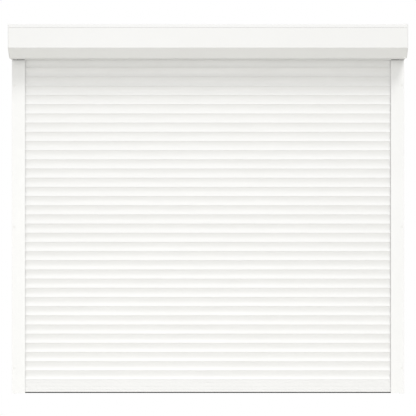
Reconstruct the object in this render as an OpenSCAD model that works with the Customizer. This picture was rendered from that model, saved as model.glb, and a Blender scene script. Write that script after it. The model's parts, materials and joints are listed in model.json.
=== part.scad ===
// Exterior roller shutter. A sheet metal box holds the winding shaft and its tubular motor, two guide
// rails stand below it, and a curtain of hooked slats runs in the rails down to a sealed bottom bar.
// X runs along the shaft, +Y points to the wall and +Z is up. The origin lies on the wall plane, at the
// middle of the rails' screw pattern. Shown closed.

/* [Opening] */
// Overall width over the end caps and rails
overall_w = 1665; // [1200:1:2200]
// Height from the sill to the underside of the box
open_h = 1415.4; // [900:0.2:1420]

/* [Box] */
// Height of the box
box_h = 137; // [130:1:180]
// Depth of the box
box_d = 137; // [130:1:180]
// Height and depth of the slope at the lower front edge
slope = 37.7; // [30:0.1:45]
// Height of the top sheet's lip on the front
lip_h = 14.6; // [8:0.2:20]
// Thickness of the box sheets
sheet_t = 1.2; // [0.8:0.1:1.6]
// Open seam between neighbouring sheets
seam = 0.6; // [0.3:0.1:1.5]
// Height of the hidden flanges behind the seams
tuck_h = 8; // [5:1:12]
// Distance of the flap's rear edge from the wall
flap_edge = 24; // [23:0.5:30]

/* [End caps] */
// Thickness of an end cap's plate
cap_t = 3; // [2:0.5:5]
// Depth of the collar that the sheets sit on
collar_d = 14; // [8:1:16]
// Thickness of the collar
collar_t = 2.5; // [1.5:0.5:4]
// Clearance between collar and sheets
seat_clear = 0.1; // [0.05:0.05:0.3]
// Length of the spigot that stands in a rail
spigot_l = 35; // [20:1:50]
// Clearance around the spigot
spigot_clear = 0.3; // [0.1:0.1:0.5]

/* [Rails] */
// Width of a rail's front
rail_w = 56; // [50:1:70]
// Depth of a rail
rail_d = 22; // [21:0.5:30]
// Wall thickness of a rail
rail_wall = 1.6; // [1.2:0.1:2]
// Width of the outer chamber with both its walls
chamber_w = 20.6; // [18:0.1:24]
// Gap between a rail's top and the box
rail_gap = 0.6; // [0.4:0.1:3]
// Thickness of the foot plugs
foot_t = 1.5; // [1:0.5:3]
// Radius of the screw holes in the rear wall
screw_hole_r = 3; // [2:0.25:3.5]
// Radius of the access holes in the front wall
access_r = 5; // [4:0.25:6]
// Height of the outer screws above and below the middle
screw_z = 600; // [350:5:650]

/* [Brushes] */
// Width of a brush holder
holder_w = 9; // [8:0.5:10]
// Height of a brush holder
holder_h = 2.4; // [2:0.1:2.8]
// Rib thickness of a brush holder
holder_t = 1.2; // [0.8:0.1:1.4]
// Clearance between bristles and slats
brush_clear = 0.35; // [0.2:0.05:0.6]

/* [Slats] */
// Height that one slat covers
slat_pitch = 39; // [39:0.5:50]
// Radius of the hollow front
slat_r = 65; // [55:1:90]
// Thickness between front and rear face
slat_t = 6.3; // [6:0.1:6.8]
// Wall thickness of a slat
slat_wall = 0.8; // [0.6:0.1:1]
// Visible gap between two slats
slat_gap = 0.5; // [0.4:0.1:0.8]
// Gap between a slat's end and the channel floor
slat_end_gap = 8; // [5:0.5:12]
// Radius of the bead that hooks into the next slat
bead_r = 1.5; // [1.2:0.1:1.6]
// Thickness of the bead's neck
neck_t = 1.1; // [0.8:0.1:1.3]
// Clearance of the bead in its pocket
link_clear = 0.4; // [0.3:0.05:0.5]
// Height of the bead above the joint
pocket_z = 3.2; // [3:0.1:3.6]

/* [Bottom bar] */
// Height from the sill to the bar's top
bar_zone = 57.4; // [45:0.2:70]
// Wall thickness of the bar
bar_wall = 1.4; // [1:0.1:2]
// Height of the rubber seal under the bar
seal_h = 4.6; // [2.6:0.1:6]
// Thickness of the seal's lip
seal_t = 5; // [3.5:0.5:6]
// Free height between the seal and the sill
sill_clear = 1.1; // [0.1:0.1:2]

/* [Shaft and motor] */
// Width of the octagonal shaft across its flats
shaft_af = 40; // [40:1:50]
// Wall thickness of the shaft
shaft_wall = 1; // [0.6:0.1:1.5]
// Clearance of the fittings in the shaft
shaft_clear = 0.1; // [0.05:0.05:0.3]
// Radius of the motor tube
motor_r = 17.5; // [15:0.5:17.5]
// Length of the motor tube
motor_l = 480; // [300:10:520]
// Radius of the motor head
head_r = 23; // [20.5:0.5:26]
// Length of the motor head
head_l = 24; // [15:1:30]
// Running clearance of turning fits
run_clear = 0.08; // [0.05:0.01:0.1]
// Radius of the shaft's pin and of the motor's spindle
pin_r = 6; // [5:0.5:7]
// Outer radius of the ball bearing
bearing_r = 14; // [13:0.5:16]
// Width of the ball bearing
bearing_w = 8; // [6:0.5:10]
// Thickness of the brackets on the end caps
bracket_t = 3; // [2:0.5:4]
// Edge length of the brackets
bracket_w = 62; // [60:1:70]

/* [Hangers] */
// Number of straps that hold the curtain
hangers = 4; // [2:1:6]
// Width of a strap
strap_w = 30; // [20:1:50]
// Thickness of a strap
strap_t = 0.8; // [0.5:0.1:1.2]

/* [Hidden] */
$fn = 64;
// Overlap of cutters and of joined solids
eps = 0.5;
inset_k = sqrt(2) - 1;
half_w = overall_w / 2;
z_sill = -open_h / 2;
z_box = open_h / 2;
z_top = z_box + box_h;
panel_l = overall_w - 2 * cap_t - seam;
tuck_l = panel_l - 2 * collar_d - 2 * seam;
x_cap = half_w - cap_t;
x_collar = x_cap - collar_d / 2;

// Rails
z_rail_top = z_box - rail_gap;
z_rail_foot = z_sill + foot_t;
channel_d = rail_d - 2 * rail_wall;
screw_u = chamber_w / 2;
lip_t = 0.9;
brush_play = 0.2;
base_w = holder_w - 2 * (holder_t + brush_play);
base_h = holder_h - lip_t - 2 * brush_play;
bristle_w = holder_w - 2 * (holder_t + lip_t) - 6 * brush_play;
brush_end = 10;
inlet_t = 1.2;
inlet_base = 1.5;
inlet_h = 24;
plug_clear = 0.1;
plug_l = 3;
foot_plug_l = 20;

// Slats
slat_half = slat_pitch / 2;
slat_edge_r = sqrt(slat_r * slat_r - slat_half * slat_half);
slat_depth = slat_r + slat_t - slat_edge_r;
slat_c = -(slat_r + slat_t + slat_edge_r) / 2;
slat_y = -rail_d / 2;
neck_y = slat_c + sqrt(pow(slat_r + slat_t / 2, 2) - pow(slat_half - pocket_z / 2, 2));
pocket_top = pocket_z + bead_r + link_clear + slat_wall;
slat_l = overall_w - 2 * (chamber_w + slat_end_gap);
z_bar = z_sill + bar_zone;
slat_count = ceil((z_box - z_bar) / slat_pitch);
bar_end_t = 2;
bar_l = slat_l - 2 * bar_end_t;
bar_foot = sill_clear + seal_h;
bar_h = bar_zone - bar_foot - slat_gap;
bar_fit = 0.2;
bar_end_l = 25;
slot_w = 3;
slot_d = 4;
slot_lip = 1;
rib_w = 1.8;
rib_d = 0.6;
rib_z = [9, 22, 40];

// Shaft, from the bearing at the left to the motor at the right
shaft_y = -box_d / 2;
shaft_z = z_box + box_h / 2;
hub_l = bearing_w + 2;
hub_t = 5;
flange_t = 3;
free_end = 2;
x_bearing = -x_cap + bracket_t;
x_capsule = x_bearing + hub_l + free_end;
x_shaft0 = x_capsule + flange_t;
x_head = x_cap - bracket_t - head_l;
x_shaft1 = x_head - free_end;
inner_af = shaft_af - 2 * shaft_wall;
plug_af = inner_af - 2 * shaft_clear;
capsule_l = 60;
crown_l = 16;
wheel_l = 20;
x_motor_end = x_head - motor_l;
spindle_l = 14;
stub_w = 10;
stub_clear = 0.1;
ring_t = 2.6;
ball_r = 2;
balls = 9;

// Notches in the flap over the rails
notch_d = 0.146 * box_d;
notch_side = 1;

// Screws and rivets
bolt_r = 1.9;
bolt_hole_r = 2;
bolt_l = 6;
head_h = 2.2;
bolt_head_r = 3.6;
rivet_h = 1;
bracket_bolt = bracket_w / 2 - 6;
flap_bolts = [-0.51 * box_d, -0.66 * box_d];
top_bolts = [-0.25 * box_d, -0.75 * box_d];

// Cable grommet in the rear sheet
grommet_r = 6;
grommet_flange = 2.5;
grommet_t = 1.6;
cable_r = 3;
grommet_inset = 110;
grommet_rise = 28;
grommet_x = half_w - grommet_inset;
grommet_z = z_box + grommet_rise;

// Hangers
clip_h = 9;
clip_d = 7;
hanger_inset = 100;
hanger_room = tuck_l - 2 * hanger_inset;

white = "#f4f4ef";
grey = "#8d9094";
steel = "#b9bcc0";
black = "#2a2a2b";

function two(n) = n < 10 ? str("0", n) : str(n);
function slat_name(k) = str("slat_", two(k));

// The box outline in the YZ plane, moved inwards by a: rear foot, rear top, front top, slope top, slope foot
function box_outline(a) = [
    [-a, z_box + a],
    [-a, z_top - a],
    [a - box_d, z_top - a],
    [a - box_d, z_box + slope + inset_k * a],
    [slope - box_d + inset_k * a, z_box + a]
];

function left_of(a, b) = let (d = (b - a) / norm(b - a)) [-d[1], d[0]];
function mitre(p, i) =
    let (
        last = len(p) - 1,
        a = left_of(p[max(i - 1, 0)], p[max(i, 1)]),
        b = left_of(p[min(i, last - 1)], p[min(i + 1, last)])
    )
    (a + b) / (1 + a * b);

// A bent sheet: its outer face follows p, and its thickness lies to the left
module sheet(p, t) {
    inner = [for (i = [len(p) - 1:-1:0]) p[i] + t * mitre(p, i)];
    polygon(concat(p, inner));
}

// Draws a YZ profile along X, centred or from a start
module along_x(l, from = undef) {
    translate([is_undef(from) ? -l / 2 : from, 0, 0]) rotate([90, 0, 90]) linear_extrude(l) children();
}

module both_sides() {
    children();
    mirror([1, 0, 0]) children();
}

// A round bar along X on the shaft's axis
module shaft_round(r, x0, x1) {
    translate([x0, shaft_y, shaft_z]) rotate([0, 90, 0]) cylinder(r = r, h = x1 - x0);
}

// An octagonal bar along X on the shaft's axis, with one flat towards the wall
module shaft_octagon(af, x0, x1) {
    translate([x0, shaft_y, shaft_z]) rotate([0, 90, 0]) rotate([0, 0, 22.5])
        cylinder(r = af / 2 / cos(22.5), h = x1 - x0, $fn = 8);
}

// Places children on the four bolts of a bracket, on the plane x
module bracket_bolts(x) {
    for (a = [-1, 1], b = [-1, 1])
        translate([x, shaft_y + a * bracket_bolt, shaft_z + b * bracket_bolt]) children();
}

// Places children on the bolts that hold the flap or the top to the collars, on the plane z
module collar_bolts(ys, z) {
    for (s = [-1, 1], y = ys) translate([s * x_collar, y, z]) children();
}

// Box
module rear_panel() {
    o = box_outline(0);
    head = o[1] - [0, sheet_t];
    color(white) difference() {
        union() {
            along_x(panel_l) sheet([o[0], head], sheet_t);
            along_x(tuck_l) sheet([head - [0, tuck_h], head, head - [tuck_h, 0]], sheet_t);
        }
        translate([grommet_x, eps, grommet_z]) rotate([90, 0, 0]) cylinder(r = grommet_r, h = sheet_t + 2 * eps);
    }
}

module top_panel() {
    o = box_outline(0);
    color(white) difference() {
        along_x(panel_l) sheet([o[1], o[2], o[2] - [0, lip_h]], sheet_t);
        collar_bolts(top_bolts, z_top - sheet_t - eps) cylinder(r = bolt_hole_r, h = sheet_t + 2 * eps);
    }
}

module front_panel() {
    o = box_outline(0);
    head = o[2] - [0, lip_h + seam];
    foot = o[3] + [0, seam / 2];
    color(white) {
        along_x(panel_l) sheet([head, foot], sheet_t);
        along_x(tuck_l) translate([sheet_t, 0]) sheet([head + [0, tuck_h], head - [0, tuck_h]], sheet_t);
        along_x(tuck_l) sheet([head - [0, seam], head - [0, tuck_h]], 2 * sheet_t);
    }
}

module inspection_flap() {
    o = box_outline(0);
    edge = [-flap_edge, z_box];
    hook = o[3] + [sheet_t, 0];
    path = [o[3] + [seam / 2, -seam / 2], o[4], edge];
    color(white) difference() {
        union() {
            // The slope's upper edge is cut level, clear of the front sheet
            along_x(panel_l) polygon(concat(path, [
                edge + [0, sheet_t],
                path[1] + sheet_t * mitre(path, 1),
                path[0] + [sqrt(2) * sheet_t, 0]
            ]));
            along_x(tuck_l) sheet([edge - [sheet_t, 0], edge, edge + [0, tuck_h]], sheet_t);
            along_x(tuck_l) sheet([hook + [0, tuck_h], hook - [0, sheet_t / 2]], sheet_t);
        }
        // Notches over the rails
        both_sides() translate([-half_w, -flap_edge - notch_d, z_box - eps])
            cube([rail_w + notch_side, notch_d + eps, tuck_h + 2 * eps]);
        collar_bolts(flap_bolts, z_box - eps) cylinder(r = bolt_hole_r, h = sheet_t + 2 * eps);
    }
}

// The left cap: plate, collar under the sheets, and the spigot that stands in the rail
module end_cap() {
    seat = sheet_t + seat_clear;
    foot = rail_wall + spigot_clear;
    spigot_w = chamber_w - 2 * foot;
    spigot_d = rail_d - 2 * foot;
    difference() {
        union() {
            along_x(cap_t, -half_w) polygon(box_outline(0));
            along_x(cap_t + collar_d, -half_w) difference() {
                polygon(box_outline(seat));
                polygon(box_outline(seat + collar_t));
            }
            translate([foot - half_w, foot - rail_d, z_rail_top - spigot_l])
                cube([spigot_w, spigot_d, spigot_l + rail_gap + seat + collar_t]);
        }
        // The collar leaves the flap's notch open
        translate([cap_t - half_w, -flap_edge - notch_d - eps, z_box + seat - eps])
            cube([collar_d + eps, notch_d + eps, collar_t + 2 * eps]);
        for (y = flap_bolts) translate([-x_collar, y, z_box + seat - eps])
            cylinder(r = bolt_hole_r, h = collar_t + 2 * eps);
        for (y = top_bolts) translate([-x_collar, y, z_top - seat - collar_t - eps])
            cylinder(r = bolt_hole_r, h = collar_t + 2 * eps);
        bracket_bolts(-half_w - eps) rotate([0, 90, 0]) cylinder(r = bolt_hole_r, h = cap_t + 2 * eps);
    }
}

module end_cap_left() color(white) end_cap();
module end_cap_right() color(white) mirror([1, 0, 0]) end_cap();

module box_screws() {
    color(steel) {
        collar_bolts(flap_bolts, z_box) {
            cylinder(r = bolt_r, h = bolt_l);
            translate([0, 0, -head_h]) cylinder(r = bolt_head_r, h = head_h);
        }
        collar_bolts(top_bolts, z_top) {
            translate([0, 0, -bolt_l]) cylinder(r = bolt_r, h = bolt_l);
            cylinder(r = bolt_head_r, h = rivet_h);
        }
        both_sides() bracket_bolts(bracket_t - x_cap) rotate([0, 90, 0]) {
            translate([0, 0, -bracket_t - cap_t + eps]) cylinder(r = bolt_r, h = bracket_t + cap_t - eps);
            cylinder(r = bolt_head_r, h = head_h);
        }
    }
}

// Flush on the outside, so that the box can lie against the wall
module cable_grommet() {
    r = grommet_r - plug_clear;
    color(black) translate([grommet_x, 0, grommet_z]) rotate([90, 0, 0]) rotate_extrude() polygon([
        [cable_r, 0],
        [r, 0],
        [r, sheet_t],
        [grommet_r + grommet_flange, sheet_t],
        [grommet_r + grommet_flange, sheet_t + grommet_t],
        [cable_r, sheet_t + grommet_t]
    ]);
}

// Rails, drawn at the left. In their plan u runs from the outer face to the curtain, v from the wall
module rail_plan() {
    difference() {
        square([rail_w, rail_d]);
        translate([rail_wall, rail_wall]) square([chamber_w - 2 * rail_wall, channel_d]);
        translate([chamber_w, rail_wall]) square([rail_w, channel_d]);
    }
    for (rear = [true, false]) on_wall(rear) {
        square([holder_t, holder_h]);
        translate([0, holder_h - lip_t]) square([holder_t + lip_t, lip_t]);
        translate([holder_w - holder_t, 0]) square([holder_t, holder_h]);
        translate([holder_w - holder_t - lip_t, holder_h - lip_t]) square([holder_t + lip_t, lip_t]);
    }
}

// Puts a brush holder's plan on the rear or the front wall of the channel
module on_wall(rear) {
    translate([rail_w - holder_w, rear ? rail_wall : rail_d - rail_wall]) mirror([0, rear ? 0 : 1]) children();
}

// Stands a plan at the left rail between two heights
module in_rail(z0, z1) {
    translate([-half_w, 0, z0]) linear_extrude(z1 - z0) mirror([0, 1]) children();
}

module rail_screws(v) {
    for (z = [-screw_z, 0, screw_z]) translate([screw_u - half_w, -v, z]) rotate([90, 0, 0]) children();
}

module guide_rail() {
    difference() {
        in_rail(z_rail_foot, z_rail_top) rail_plan();
        rail_screws(-eps) cylinder(r = screw_hole_r, h = rail_wall + 2 * eps);
        rail_screws(rail_d - rail_wall - eps) cylinder(r = access_r, h = rail_wall + 2 * eps);
    }
}

module guide_rail_left() color(white) guide_rail();
module guide_rail_right() color(white) mirror([1, 0, 0]) guide_rail();

module brush_plan() {
    reach = (channel_d - slat_depth) / 2 - brush_clear;
    translate([holder_t + brush_play, brush_play / 2]) square([base_w, base_h]);
    translate([(holder_w - bristle_w) / 2, base_h / 2]) square([bristle_w, reach - base_h / 2]);
}

module rail_brushes() {
    color(grey) both_sides() for (rear = [true, false])
        in_rail(z_rail_foot + brush_end, z_rail_top - brush_end) on_wall(rear) brush_plan();
}

// A funnel on each rail's top leads the slats into the channel
module rail_inlets() {
    half = slat_depth / 2 + holder_h / 2;
    u0 = chamber_w + spigot_clear;
    u1 = rail_w - holder_t;
    mouth = u0 + slat_end_gap / 2;
    z_base = z_rail_top + inlet_base;
    color(black) both_sides() {
        in_rail(z_rail_top, z_base) difference() {
            translate([u0, spigot_clear + sheet_t]) square([u1 - u0, rail_d - 2 * (spigot_clear + sheet_t)]);
            translate([mouth, rail_d / 2 - half]) square([rail_w, 2 * half]);
        }
        along_x(u1 - u0, u0 - half_w) {
            front = slat_y - half;
            rear = slat_y + half;
            flare = (-rear - sheet_t) / 2;
            sheet([[front - inlet_t, z_rail_top], [front - inlet_t, z_box], [front - inlet_t - flare, z_box + inlet_h]],
                -inlet_t);
            sheet([[rear + inlet_t, z_rail_top], [rear + inlet_t, z_box], [rear + flare, z_box + inlet_h]], inlet_t);
        }
    }
}

// Flush plugs in the access holes and foot plugs in the chambers
module rail_plugs() {
    fit = rail_wall + spigot_clear;
    color(white) both_sides() {
        rail_screws(rail_d - plug_l) cylinder(r = access_r - plug_clear, h = plug_l);
        in_rail(z_sill, z_rail_foot) square([chamber_w, rail_d]);
        in_rail(z_sill, z_rail_foot + foot_plug_l)
            translate([fit, fit]) square([chamber_w - 2 * fit, rail_d - 2 * fit]);
    }
}

// Shaft
module winding_shaft() {
    color(steel) difference() {
        shaft_octagon(shaft_af, x_shaft0, x_shaft1);
        shaft_octagon(inner_af, x_shaft0 - eps, x_shaft1 + eps);
    }
}

// Plug in the shaft's left end, with the pin that turns in the bearing
module shaft_capsule() {
    color(grey) {
        shaft_octagon(plug_af, x_shaft0 - eps, x_shaft0 + capsule_l);
        shaft_octagon(shaft_af, x_capsule, x_shaft0);
        shaft_round(pin_r - run_clear, x_bearing + free_end / 2, x_capsule + eps);
    }
}

module bearing_ring(r0, r1, x) {
    difference() {
        shaft_round(r1, x, x + bearing_w);
        shaft_round(r0, x - eps, x + bearing_w + eps);
        translate([x + bearing_w / 2, shaft_y, shaft_z]) rotate([0, 90, 0]) rotate_extrude()
            translate([(pin_r + bearing_r) / 2, 0]) circle(r = ball_r + run_clear);
    }
}

module ball_bearing() {
    x = x_bearing + free_end / 2;
    color(steel) {
        bearing_ring(pin_r, pin_r + ring_t, x);
        bearing_ring(bearing_r - ring_t, bearing_r, x);
        for (i = [0:balls - 1])
            translate([x + bearing_w / 2, shaft_y, shaft_z]) rotate([360 / balls * i, 0, 0])
                translate([0, 0, (pin_r + bearing_r) / 2]) sphere(r = ball_r);
    }
}

// Bracket plate on an end cap's inner face, starting at x
module bracket(x) {
    difference() {
        translate([x, shaft_y - bracket_w / 2, shaft_z - bracket_w / 2]) cube([bracket_t, bracket_w, bracket_w]);
        bracket_bolts(x - eps) rotate([0, 90, 0]) cylinder(r = bolt_hole_r, h = bracket_t + 2 * eps);
    }
}

module bearing_plate() {
    color(steel) difference() {
        union() {
            bracket(-x_cap);
            shaft_round(bearing_r + hub_t, x_bearing - eps, x_bearing + hub_l);
        }
        shaft_round(bearing_r + run_clear, x_bearing + free_end / 2, x_bearing + hub_l + eps);
        shaft_round(pin_r + hub_t / 2, x_bearing, x_bearing + hub_l);
    }
}

// Motor
module motor_tube() {
    color(black) difference() {
        shaft_round(motor_r, x_motor_end, x_head);
        shaft_round(pin_r + run_clear, x_motor_end - eps, x_motor_end + spindle_l + eps);
    }
}

module motor_head() {
    color(grey) {
        shaft_round(head_r, x_head, x_head + head_l);
        translate([x_head + head_l - eps, shaft_y - stub_w / 2, shaft_z - stub_w / 2])
            cube([bracket_t + eps, stub_w, stub_w]);
    }
}

module motor_bracket() {
    socket = stub_w + 2 * stub_clear;
    color(steel) difference() {
        bracket(x_cap - bracket_t);
        translate([x_cap - bracket_t - eps, shaft_y - socket / 2, shaft_z - socket / 2])
            cube([bracket_t + 2 * eps, socket, socket]);
    }
}

// The crown ring carries the shaft's right end on the motor tube. The drive wheel's spindle stands in the
// motor's far end and turns the shaft
module motor_adapters() {
    x = x_motor_end - free_end;
    color(black) {
        difference() {
            shaft_octagon(plug_af, x_shaft1 - crown_l, x_shaft1);
            shaft_round(motor_r + run_clear, x_shaft1 - crown_l - eps, x_shaft1 + eps);
        }
        shaft_octagon(plug_af, x - wheel_l, x);
        shaft_round(pin_r, x - eps, x + spindle_l);
    }
}

// Curtain. In a slat's YZ profile the joint below is at z = 0 and the middle of its depth at y = 0
module slat_band(r0, r1, z0, z1) {
    intersection() {
        translate([slat_c, slat_half]) difference() {
            circle(r = r1, $fn = 128);
            circle(r = r0, $fn = 128);
        }
        translate([slat_c, z0]) square([slat_r + 2 * slat_t, z1 - z0]);
    }
}

module bead_profile(z, foot) {
    translate([neck_y, z + pocket_z]) circle(r = bead_r);
    translate([neck_y - neck_t / 2, foot]) square([neck_t, z + pocket_z - foot]);
}

module pocket_profile() {
    mouth = neck_t + 2 * link_clear;
    translate([neck_y, pocket_z]) circle(r = bead_r + link_clear);
    translate([neck_y - mouth / 2, -eps]) square([mouth, pocket_z + eps]);
}

module slat_profile() {
    top = slat_pitch - slat_gap;
    difference() {
        union() {
            slat_band(slat_r, slat_r + slat_t, 0, top);
            bead_profile(slat_pitch, top - slat_wall / 2);
        }
        slat_band(slat_r + slat_wall, slat_r + slat_t - slat_wall, pocket_top, top - slat_wall);
        pocket_profile();
    }
}

// Slat k counts from the top
module slat(k) {
    color(white) translate([0, slat_y, z_bar + (slat_count - k) * slat_pitch]) along_x(slat_l) slat_profile();
}

module slot_profile(play) {
    translate([-slot_w / 2 + play, -eps]) square([slot_w - 2 * play, slot_d - play + eps]);
    translate([-slot_w / 2 - slot_lip + play, slot_lip + play])
        square([slot_w + 2 * slot_lip - 2 * play, slot_d - slot_lip - 2 * play]);
}

module bottom_bar() {
    depth = slat_depth;
    hollow_z = slot_d + bar_wall;
    color(white) translate([0, slat_y, z_sill + bar_foot]) along_x(bar_l) difference() {
        union() {
            translate([-depth / 2, 0]) square([depth, bar_h]);
            bead_profile(bar_h + slat_gap, bar_h - bar_wall / 2);
        }
        translate([-depth / 2 + bar_wall, hollow_z]) square([depth - 2 * bar_wall, bar_h - hollow_z - bar_wall]);
        for (z = rib_z) translate([-depth / 2 - rib_d, z]) square([2 * rib_d, rib_w]);
        slot_profile(0);
    }
}

module bottom_seal() {
    color(black) translate([0, slat_y, z_sill + bar_foot]) along_x(bar_l) {
        slot_profile(bar_fit);
        translate([-seal_t / 2, seal_t / 2 - seal_h]) square([seal_t, seal_h - seal_t / 2]);
        difference() {
            translate([0, seal_t / 2 - seal_h]) circle(r = seal_t / 2);
            translate([-seal_t, 0]) square(2 * seal_t);
        }
    }
}

module bottom_bar_ends() {
    depth = slat_depth;
    fit = bar_wall + bar_fit;
    hollow_z = slot_d + bar_wall;
    color(black) both_sides() translate([0, slat_y, z_sill + bar_foot]) {
        along_x(bar_end_t, bar_l / 2) translate([-depth / 2, 0]) square([depth, bar_h]);
        along_x(bar_end_l, bar_l / 2 - bar_end_l + eps) translate([-depth / 2 + fit, hollow_z + bar_fit])
            square([depth - 2 * fit, bar_h - hollow_z - bar_wall - 2 * bar_fit]);
    }
}

// Spring steel straps from the shaft's rear flat to clips on the top slat's bead
module curtain_hangers() {
    z_joint = z_bar + slat_count * slat_pitch;
    flat = shaft_af / 2;
    flat_half = 0.9 * flat * tan(22.5);
    clip = [slat_y + neck_y, z_joint + slat_gap];
    path = [
        [shaft_y + flat, shaft_z + flat_half],
        [shaft_y + flat, shaft_z - flat_half],
        clip + [0, clip_h - strap_t]
    ];
    color(steel) for (i = [0:hangers - 1])
        along_x(strap_w, (i / (hangers - 1) - 0.5) * hanger_room - strap_w / 2) {
            sheet(path, strap_t);
            difference() {
                translate(clip - [clip_d / 2, 0]) square([clip_d, clip_h]);
                translate([slat_y, z_joint]) pocket_profile();
            }
        }
}

rear_panel();
top_panel();
front_panel();
inspection_flap();
end_cap_left();
end_cap_right();
guide_rail_left();
guide_rail_right();
rail_brushes();
rail_inlets();
rail_plugs();
winding_shaft();
shaft_capsule();
ball_bearing();
bearing_plate();
motor_tube();
motor_head();
motor_bracket();
motor_adapters();
curtain_hangers();
bottom_bar();
bottom_seal();
bottom_bar_ends();
box_screws();
cable_grommet();
for (k = [1:slat_count]) slat(k);
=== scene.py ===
"""Looks of an exterior roller shutter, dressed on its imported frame. Lengths are in millimetres."""

import json
import math
import random

import bmesh
import bpy
from mathutils import Matrix, Vector
from mathutils.geometry import delaunay_2d_cdt


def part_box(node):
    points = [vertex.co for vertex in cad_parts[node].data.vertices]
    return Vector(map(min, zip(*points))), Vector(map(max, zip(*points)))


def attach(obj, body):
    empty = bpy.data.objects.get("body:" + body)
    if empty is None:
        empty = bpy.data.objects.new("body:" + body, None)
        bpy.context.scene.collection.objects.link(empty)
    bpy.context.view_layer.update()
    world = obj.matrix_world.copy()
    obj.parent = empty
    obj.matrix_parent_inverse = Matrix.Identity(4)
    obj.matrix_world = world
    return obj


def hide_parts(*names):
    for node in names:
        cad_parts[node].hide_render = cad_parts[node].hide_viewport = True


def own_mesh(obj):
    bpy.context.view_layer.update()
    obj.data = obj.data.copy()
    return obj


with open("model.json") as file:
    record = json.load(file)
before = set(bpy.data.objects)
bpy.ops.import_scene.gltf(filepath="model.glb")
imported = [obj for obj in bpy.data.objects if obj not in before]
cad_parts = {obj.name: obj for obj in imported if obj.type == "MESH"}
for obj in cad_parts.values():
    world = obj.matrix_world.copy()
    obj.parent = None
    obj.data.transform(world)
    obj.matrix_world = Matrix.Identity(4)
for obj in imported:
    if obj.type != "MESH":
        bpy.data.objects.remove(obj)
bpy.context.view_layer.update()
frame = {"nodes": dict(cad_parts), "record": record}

MM = 0.001
random.seed(7)


def node_box(node):
    """Lowest and highest corner of a CAD node."""
    low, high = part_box(node)
    return low / MM, high / MM


# Places taken from the frame
cap_low = node_box("end_cap_left")[0]
rail_low, rail_high = node_box("guide_rail_left")
top_low, top_high = node_box("top_panel")
rear_low = node_box("rear_panel")[0]
flap_high = node_box("inspection_flap")[1]
plug_low = node_box("rail_plugs")[0]
bar_low, bar_high = node_box("bottom_bar")
seal_low = node_box("bottom_seal")[0]
shaft_low, shaft_high = node_box("winding_shaft")
slat_low, slat_high = node_box("slat_01")
half_w = -cap_low.x
panel_half = top_high.x
z_box = rear_low.z
z_top = top_high.z
box_d = -top_low.y
flap_edge = -flap_high.y
z_sill = plug_low.z
rail_w = rail_high.x - rail_low.x
rail_d = rail_high.y - rail_low.y
z_rail_foot = rail_low.z
slat_y = (slat_low.y + slat_high.y) / 2
shaft_y = (shaft_low.y + shaft_high.y) / 2
shaft_z = (shaft_low.z + shaft_high.z) / 2
shaft_af = shaft_high.y - shaft_low.y

# Sizes of the sheets and castings
sheet_t = 1.2
seam = 0.6
bend_r = 2.4
edge_r = 0.25
slope = 37.7  # height and depth of the sloping front
lip_h = 14.6
lip_lean = 1.8  # how far the lip's foot stands before its head
tuck_h = 8  # overlap of a sheet behind the next one
fit = 0.1  # play between pieces that are pushed together
past = 1  # how far a cutter reaches beyond what it cuts
cap_t = 3
cap_edge_r = 1.0
cap_corner_r = 2.2
collar_d = 14
collar_t = 2.5
collar_bend = 1.2
collar_heel = 6  # where the collar's rear run starts, from the wall
seat = sheet_t + fit
tuck_half = panel_half - collar_d - seam
notch_d = 0.146 * box_d
notch_half = half_w - rail_w - 1
bolt_r = 1.9
bolt_hole_r = 2
bolt_l = 6
head_r = 3.6
head_h = 2.2
rivet_h = 1
bracket_t = 3
bracket_bolt = 25  # distance of the bracket's bolts from the shaft, along Y and Z
collar_bolt_x = half_w - cap_t - collar_d / 2
flap_bolts = (-0.51 * box_d, -0.66 * box_d)
top_bolts = (-0.25 * box_d, -0.75 * box_d)
grommet_r = 6
cable_r = 3

# Sizes of the rails
rail_wall = 1.6
rail_rise = 0.4  # how much closer the rails come to the box than their solids
chamber_w = 20.6
chamber_play = 0.3
holder_w = 9
holder_h = 2.4
holder_t = 1.2
holder_lip = 0.9
screw_u = chamber_w / 2
screw_heights = (-600, 0, 600)
screw_hole_r = 3
access_r = 5
z_rail_top = rail_high.z + rail_rise

# Sizes of the curtain
pitch = 39
slat_r = 65
slat_t = 6.3
slat_wall = 0.8
slat_gap = 0.5  # joint of the solids
slat_joint = 0.15  # joint that shows
slat_lip_r = 0.6
slat_count = 35
hollow_d = 2.8  # depth of a slat's front, and the height where it is deepest
hollow_z = 0.42 * pitch
bead_r = 1.5
neck_t = 1.1
link_clear = 0.4
pocket_z = 3.2
slat_edge_r = math.sqrt(slat_r ** 2 - (pitch / 2) ** 2)
slat_depth = slat_r + slat_t - slat_edge_r
slat_c = -(slat_r + slat_t + slat_edge_r) / 2
neck_y = slat_c + math.sqrt((slat_r + slat_t / 2) ** 2 - (pitch / 2 - pocket_z / 2) ** 2)
bar_wall = 1.4
bar_h = bar_high.z - bar_low.z - slat_gap - pocket_z - bead_r
rib_heights = (9, 22, 40)
rib_w = 1.8
rib_d = 0.6
slot_w = 3
slot_d = 4
slot_lip = 1
slot_play = 0.2
seal_t = 5
seal_reach = 0.4  # how much lower the seal comes than its solid
seal_h = bar_low.z - seal_low.z + seal_reach

# Grime and painted shade on the slats
head_dirt_and_shade = 2  # how far the grime and painted shade of a joint reach down and up from it
foot_dirt_and_shade = 0.8
shade_full = 0.62  # the painted shade over a slat's upper part fades out between these shares of its height
shade_end = 0.25
under_box_rows = 4  # upper slats under the box: more painted shade over each, less darkening at their joints
under_box_shade = 0.3  # how much more painted shade the uppermost one gets


# Outlines

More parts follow.
